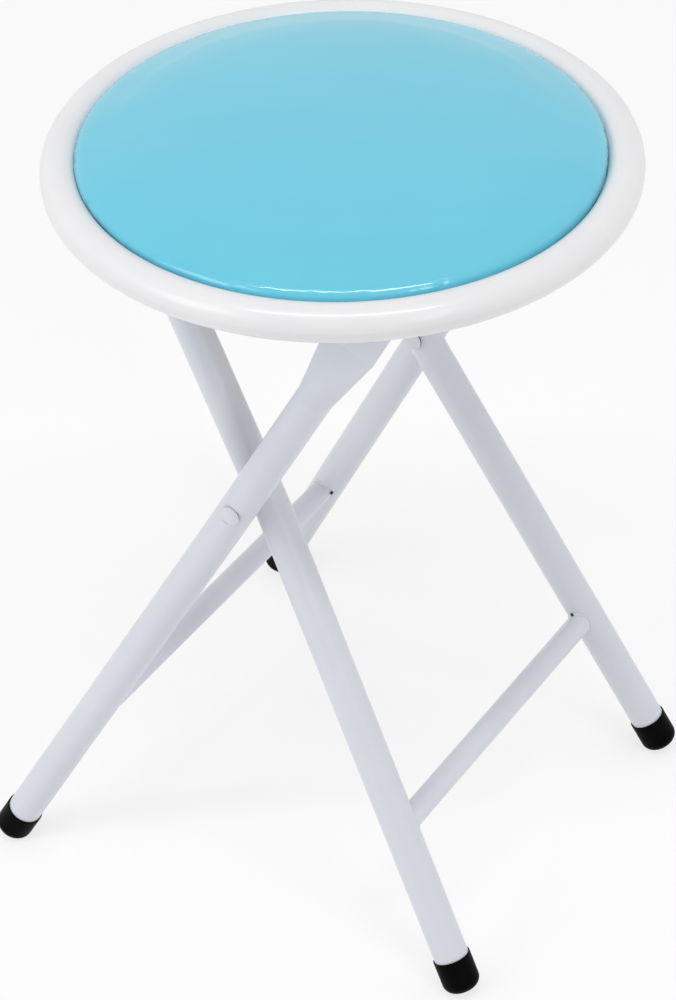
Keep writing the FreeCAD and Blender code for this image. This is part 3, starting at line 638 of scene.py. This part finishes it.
staple = makeStaple()
staples = []
for index in range(stapleShape["count"]):
    turn = 2 * math.pi * (index + 0.5) / stapleShape["count"]
    skew = stapleShape["skew"] * noise.noise(Vector((index * 1.7, 2.0, 5.0)))
    spot = outwardAt(turn) * stapleShape["circle"]
    if not nearStrap(spot.x):
        spot.z = seatLevel + stapleShape["rise"]
        staples.append(copyPiece(staple, "staple%02d" % index,
                                 Matrix.Translation(spot) @ Matrix.Rotation(turn + skew, 4, "Z")))
bpy.data.objects.remove(staple, do_unlink=True)
hemStaples = joinPieces(staples, "hemStaples")
setFinish(hemStaples, zincSteel, "seat")
print("staples made:", len(staples))


# Pan-head screws under the straps
screwShape = {"segments": 40, "head": 0.004, "headHeight": 0.0022, "round": 0.0011, "slot": 0.0011,
              "slotLength": 0.0044, "slotDepth": 0.0013, "firstTurn": 0.3, "nextTurn": 0.7,
              "outerSpot": {"hinge_strap": 0.06506, "catch_strap": 0.06452}}


def makeScrew():
    shape = screwShape
    high = shape["headHeight"]
    piece = addCylinder("screw", shape["segments"], shape["head"], high, -high / 2)
    pickEnd(piece, -1)
    bpy.ops.mesh.bevel(offset=shape["round"], segments=4, affect="EDGES")
    bpy.ops.object.mode_set(mode="OBJECT")
    for quarter in (0, 1):  # cross recess
        size = (shape["slot"], shape["slotLength"], shape["slotDepth"] * 2)
        cutAway(piece, addBlock("recess", size, -high, quarter * math.pi / 2))
    smoothBelow(35)
    return piece


screw = makeScrew()
screwLow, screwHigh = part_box("board_screws")
screwRows = {"hinge_strap": screwHigh.x - screwShape["head"],
             "catch_strap": screwLow.x + screwShape["head"]}
screws = []
for strap, x in screwRows.items():
    for side in (-1, 0, 1):
        spot = Vector((x, side * screwShape["outerSpot"][strap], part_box(strap)[0].z))
        turn = screwShape["firstTurn"] + screwShape["nextTurn"] * len(screws)
        screws.append(copyPiece(screw, "screw%02d" % len(screws),
                                Matrix.Translation(spot) @ Matrix.Rotation(turn, 4, "Z")))
bpy.data.objects.remove(screw, do_unlink=True)
strapScrews = joinPieces(screws, "strapScrews")
setFinish(strapScrews, zincSteel, "seat")
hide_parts("board_screws")
print("screws made:", len(screws))


# Pivot rivets: the painted heads stand on collars in near-black painted shade, which shows as a dark line
# at their edge
rivetShape = {
    "segments": 64, "shank": 0.003, "shankInset": 0.0001, "collar": 0.00535,
    "collarHeight": {"near": 0.0003, "far": 0.0008}, "rim": 0.0003, "head": 0.0055, "dome": 0.002,
    "domeRings": [(0.00535, 0.22), (0.0047, 0.50), (0.0036, 0.75), (0.0021, 0.93), (0.0007, 1.0)]}


def makeRivetHead(bottom):
    shape = rivetShape
    base = bottom + shape["rim"]
    rings = [(radius, base + share * (shape["dome"] - base)) for radius, share in shape["domeRings"]]
    piece = addCylinder("rivetHead", shape["segments"], shape["head"], shape["rim"],
                        bottom + shape["rim"] / 2)
    pickEnd(piece, 1)
    extrudeTo(rings, (shape["head"], base))
    bpy.ops.object.mode_set(mode="OBJECT")
    smoothBelow(45)
    return piece


def makeRivetShank(name, length, high):
    shape = rivetShape
    collar, shank, inset = shape["collar"], shape["shank"], shape["shankInset"]
    piece = addCylinder(name, shape["segments"], collar, high, high / 2)
    pickEnd(piece, -1)
    extrudeTo([(shank, -inset), (shank, -length + inset), (collar, -length), (collar, -length - high)],
              (collar, 0))
    bpy.ops.object.mode_set(mode="OBJECT")
    smoothBelow(45)
    return piece


for word, collarHeight in rivetShape["collarHeight"].items():
    rivetHead = makeRivetHead(collarHeight)
    low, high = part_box("pivot_rivet_" + word)
    axis = (low + high) / 2
    starts = (Vector((axis.x, low.y + rivetShape["dome"], axis.z)),
              Vector((axis.x, high.y - rivetShape["dome"], axis.z)))
    heads = [copyPiece(rivetHead, "rivetHead%d" % index,
                       Matrix.Translation(start) @ Matrix.Rotation(math.radians(turn), 4, "X"))
             for index, (start, turn) in enumerate(zip(starts, (90, -90)))]
    heads = joinPieces(heads, "pivotRivetHeads" + word.capitalize())
    setFinish(heads, framePaint, "outer_frame")
    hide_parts("pivot_rivet_" + word)
    bpy.data.objects.remove(rivetHead, do_unlink=True)
    shank = makeRivetShank("pivotRivetShank" + word.capitalize(), starts[1].y - starts[0].y, collarHeight)
    shank.data.transform(Matrix.Translation(starts[0]) @ Matrix.Rotation(math.radians(90), 4, "X"))
    # The collars carry near-black painted shade for the gap under each head
    setFinish(shank, paintedGapShade, "outer_frame")
print("pivot rivets made")


# Weld beads, and near-black blobs of painted shade for the gaps that weld and paint left beside the rungs
weldShape = {
    "segments": 136, "rungBead": 0.00085, "rungLift": 0.0001, "ripples": 34, "ripple": 0.09, "lump": 0.35,
    "lumpScale": 420, "legRadius": 0.0095, "copeReach": 0.0088,
    "rungs": {"outer_rung": {"lean": 28.3, "splay": 7.75, "halfWidth": 0.12447, "body": "outer_frame",
                             "pinhole": 38, "pinholeSize": 0.0012},  # degrees round the rung, and radius
              "inner_rung": {"lean": -28.3, "splay": 6.8, "halfWidth": 0.10134, "body": "inner_frame",
                             "pinhole": 92, "pinholeSize": 0.0011}},
    "pinholeLift": 0.0002, "pinholeOut": 0.0004, "pinholeLump": 0.25, "pinholeScale": 1500,
    "pinholeWide": 1.3, "pinholeNarrow": 0.8}


def seamSpot(rung, side, turn, radius, outward=0.0, along=0.0):  # where the coped rung meets the leg
    shape = weldShape["rungs"][rung]
    low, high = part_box(rung)
    lean, splay = math.radians(shape["lean"]), math.radians(shape["splay"])
    upLeg = Vector((math.sin(lean), 0, math.cos(lean)))
    across = Vector((math.cos(lean), 0, -math.sin(lean)))
    x, y = radius * math.cos(turn), radius * math.sin(turn)
    depth = math.sqrt(weldShape["legRadius"] ** 2 - min(x ** 2, weldShape["copeReach"] ** 2))
    spot = (low + high) / 2 + across * (x + outward * math.cos(turn))
    spot += upLeg * (y + outward * math.sin(turn))
    spot.y = side * (shape["halfWidth"] - y * math.tan(splay) - depth + along)
    return spot


def makeRungBead(rung, side, name):
    shape = weldShape
    radius = sizeAcross(rung) / 2 + shape["rungLift"]
    piece = addTorus(name, shape["segments"], radius, shape["rungBead"])
    for vertex in piece.data.vertices:  # laid round the rung where it meets the leg
        turn = math.atan2(vertex.co.y, vertex.co.x)
        ring = outwardAt(turn) * radius
        lump = shape["lump"] * noise.noise(ring * shape["lumpScale"])
        offset = (vertex.co - ring) * (1 + shape["ripple"] * math.cos(turn * shape["ripples"]) + lump)
        vertex.co = seamSpot(rung, side, turn, radius, offset.dot(ring.normalized()), offset.z)
    faceOutward()
    bpy.ops.object.shade_smooth()
    setFinish(piece, weldPaint, weldShape["rungs"][rung]["body"])


def makePinhole(rung, name):
    shape, rungShape = weldShape, weldShape["rungs"][rung]
    turn = math.radians(rungShape["pinhole"])
    radius = sizeAcross(rung) / 2 + shape["pinholeLift"]
    spot = seamSpot(rung, 1, turn, radius, 0, -shape["pinholeOut"])
    deselectAll()
    bpy.ops.mesh.primitive_ico_sphere_add(subdivisions=3, radius=rungShape["pinholeSize"],
                                          location=(0, 0, 0))
    piece = startPiece(name)
    for vertex in piece.data.vertices:
        vertex.co *= 1 + shape["pinholeLump"] * noise.noise(vertex.co * shape["pinholeScale"])
        vertex.co.x *= shape["pinholeWide"]
        vertex.co.y *= shape["pinholeNarrow"]
    lean = Matrix.Rotation(math.radians(-rungShape["lean"]), 4, "Y")
    piece.data.transform(Matrix.Translation(spot) @ lean)
    bpy.ops.object.shade_smooth()
    # Near-black painted shade for the gap beside the weld
    setFinish(piece, paintedGapShade, rungShape["body"])


for rung in weldShape["rungs"]:
    for side, word in ((-1, "Near"), (1, "Far")):
        makeRungBead(rung, side, rung.split("_")[0] + "RungWeld" + word)
    makePinhole(rung, rung.split("_")[0] + "RungPinhole")


flatWeldShape = {
    "bead": 0.0010, "pitch": 0.0015, "strapSegments": 720, "strapInset": 0.0008, "strapRipple": 0.00016,
    "strapLump": 0.00022, "strapLumpScale": 600, "seamSegments": 12, "cuts": 17, "cutShare": 38,
    "ripple": 0.16, "lump": 0.3, "lumpScale": 500, "lumpSpread": 90, "taperPower": 6, "sink": 0.0002,
    "bracketInsets": {"Near": (0.004, 0.001), "Far": (0.001, 0.004)}, "hookInset": 0.0015}


def makeStrapBeads(strap):
    shape = flatWeldShape
    low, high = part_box(strap)
    seam = ringMiddle - math.sqrt(ringTube ** 2 - (seatLevel - low.z) ** 2)
    piece = addTorus(strap.split("_")[0] + "StrapWelds", shape["strapSegments"], seam, shape["bead"], low.z)
    slicePiece((low.x + shape["strapInset"], 0, 0), (1, 0, 0), use_fill=True, clear_inner=True)
    slicePiece((high.x - shape["strapInset"], 0, 0), (1, 0, 0), use_fill=True, clear_outer=True)
    for vertex in piece.data.vertices:
        lump = shape["strapLump"] * noise.noise(vertex.co * shape["strapLumpScale"])
        swelling = lump + shape["strapRipple"] * math.sin(vertex.co.x * 2 * math.pi / shape["pitch"])
        across = Vector((vertex.co.x, vertex.co.y, 0))
        outward = (vertex.co - across.normalized() * seam) - Vector((0, 0, low.z))
        vertex.co += outward.normalized() * swelling
    bpy.ops.object.shade_smooth()
    setFinish(piece, weldPaint, "seat")


def makeSeamBead(name, start, end):
    shape = flatWeldShape
    length = (end - start).length
    piece = addCylinder(name, shape["seamSegments"], shape["bead"], length)
    for step in sorted(range(-shape["cuts"], shape["cuts"] + 1), key=abs):  # from the middle both ways
        slicePiece((0, 0, step * length / shape["cutShare"]), (0, 0, 1))
    for vertex in piece.data.vertices:
        taper = math.sqrt(max(0.0, 1 - (2 * abs(vertex.co.z) / length) ** shape["taperPower"]))
        wave = shape["ripple"] * math.sin(vertex.co.z * 2 * math.pi / shape["pitch"])
        lump = shape["lump"] * noise.noise(Vector((vertex.co.z * shape["lumpScale"],
                                                   start.x * shape["lumpSpread"],
                                                   start.y * shape["lumpSpread"])))
        vertex.co.x *= (1 + wave + lump) * taper
        vertex.co.y *= (1 + wave + lump) * taper
    piece.rotation_euler = (end - start).to_track_quat("Z", "Y").to_euler()
    piece.location = (start + end) / 2
    applyPlace()
    bpy.ops.object.shade_smooth()
    setFinish(piece, weldPaint, "seat")


def makeWeldPair(name, xEdges, yEnds, level):
    for x, edge in zip(xEdges, ("Back", "Front")):
        makeSeamBead(name + edge, Vector((x, yEnds[0], level)), Vector((x, yEnds[1], level)))


makeStrapBeads("hinge_strap")
makeStrapBeads("catch_strap")
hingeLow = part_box("hinge_strap")[0]
catchLow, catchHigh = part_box("catch_strap")
hookInset = flatWeldShape["hookInset"]
for word, (firstInset, lastInset) in flatWeldShape["bracketInsets"].items():
    low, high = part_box("hinge_bracket_" + word.lower())
    makeWeldPair("bracketWeld" + word, (low.x, high.x), (low.y + firstInset, high.y - lastInset),
                 hingeLow.z - flatWeldShape["sink"])
    low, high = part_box("catch_hook_" + word.lower())
    makeWeldPair("hookWeld" + word, (catchLow.x, catchHigh.x), (low.y + hookInset, high.y - hookInset),
                 catchLow.z + flatWeldShape["sink"])
print("weld beads made")


studio = {"floorSize": 12.0, "white": (1, 1, 1, 1), "floorVeil": 0.72, "seenLight": 0.60, "fillLight": 0.40}


def seenAtOnce(wire):  # 1 for rays from the camera, mirrored or let through
    rays = [wire.add("LightPath", output=word + " Ray")
            for word in ("Is Camera", "Is Glossy", "Is Transmission")]
    return wire.math("MAXIMUM", wire.math("MAXIMUM", rays[0], rays[1]), rays[2])


def makeFloor():
    deselectAll()
    bpy.ops.mesh.primitive_plane_add(size=studio["floorSize"], location=(0, 0, 0))
    floor = startPiece("studioFloor")
    material, wire = startMaterial("studioWhite")
    plain = wire.add("BsdfDiffuse", {"Color": studio["white"]})
    white = wire.add("Emission", {"Color": studio["white"], "Strength": 1.0})
    shader = wire.add("MixShader", {0: seenAtOnce(wire) * studio["floorVeil"], 1: plain, 2: white})
    floor.data.materials.append(finishMaterial(material, shader))


def makeWorld():
    world = bpy.data.worlds.new("studio")
    scene.world = world
    world.use_nodes = True
    world.node_tree.nodes.clear()
    wire = Wire(world.node_tree)
    strength = seenAtOnce(wire) * studio["seenLight"] + studio["fillLight"]
    light = wire.add("Background", {"Color": studio["white"], "Strength": strength})
    output = world.node_tree.nodes.new("ShaderNodeOutputWorld")
    world.node_tree.links.new(light.socket, output.inputs["Surface"])


lampTurn = 33.1  # degrees; one side of each lamp lies level across the picture
lamps = {
    "keyLamp": {"place": (-1.0, -2.3, 1.6), "aim": (0, 0, 0.2), "size": (1.4, 1.4), "power": 16,
                "mirrored": True},
    "topLamp": {"place": (0.1, 0.5, 2.6), "aim": (0, 0, 0.3), "size": (2.2, 1.6), "power": 4.3,
                "mirrored": False},
    "backLamp": {"place": (-0.8, 1.3, 2.2), "aim": (0, 0, 0.3), "size": (1.6, 1.2), "power": 3.4,
                 "mirrored": False},
    "leftLamp": {"place": (-1.45, -0.95, 0.75), "aim": (0, 0, 0.25), "size": (1.2, 1.2), "power": 4.8,
                 "mirrored": False},
    "rightLamp": {"place": (1.45, 0.95, 0.75), "aim": (0, 0, 0.25), "size": (1.2, 1.2), "power": 5.1,
                  "mirrored": False},
    "edgeLamp": {"place": (1.9, -0.9, 1.3), "aim": (0, 0, 0.25), "size": (0.3, 1.6), "power": 5.5,
                 "mirrored": True},
    "stripLampLeft": {"place": (0.00, -0.86, 2.50), "aim": (0, 0, 0.42), "size": (0.84, 0.17), "power": 8,
                      "mirrored": True},
    "stripLampRight": {"place": (0.80, -0.34, 2.50), "aim": (0, 0, 0.42), "size": (0.84, 0.17), "power": 8,
                       "mirrored": True}}


def makeLamps():
    level = outwardAt(math.radians(lampTurn))
    for name, lamp in lamps.items():
        deselectAll()
        bpy.ops.object.light_add(type="AREA", location=lamp["place"])
        light = bpy.context.object
        light.name = light.data.name = name
        light.data.shape = "RECTANGLE"
        light.data.size, light.data.size_y = lamp["size"]
        light.data.energy = lamp["power"]
        light.visible_glossy = lamp["mirrored"]
        down = (Vector(lamp["aim"]) - Vector(lamp["place"])).normalized()
        across = (level - down * level.dot(down)).normalized()
        light.rotation_euler = Matrix((across, across.cross(down), -down)).transposed().to_euler()


photoView = {"lens": 117.787, "azimuth": 33.0766, "elevation": 38.1587, "roll": -1.4315, "distance": 1.7922,
             "target": (-0.02125, 0.02111, 0.17843)}


def makeCamera():
    azimuth, elevation, roll = (math.radians(photoView[word]) for word in ("azimuth", "elevation", "roll"))
    back = Vector((math.sin(azimuth) * math.cos(elevation), -math.cos(azimuth) * math.cos(elevation),
                   math.sin(elevation)))
    right = outwardAt(azimuth)
    up = back.cross(right)
    turnedRight = right * math.cos(roll) + up * math.sin(roll)
    turnedUp = up * math.cos(roll) - right * math.sin(roll)
    data = bpy.data.cameras.new("photoCamera")
    data.lens = photoView["lens"]
    camera = bpy.data.objects.new("photoCamera", data)
    scene.collection.objects.link(camera)
    pose = Matrix((turnedRight, turnedUp, back)).transposed().to_4x4()
    pose.translation = Vector(photoView["target"]) + back * photoView["distance"]
    camera.matrix_world = pose
    scene.camera = camera


makeFloor()
makeWorld()
makeLamps()
makeCamera()
scene.view_settings.view_transform = "Standard"
print("stage, lamps and camera set")
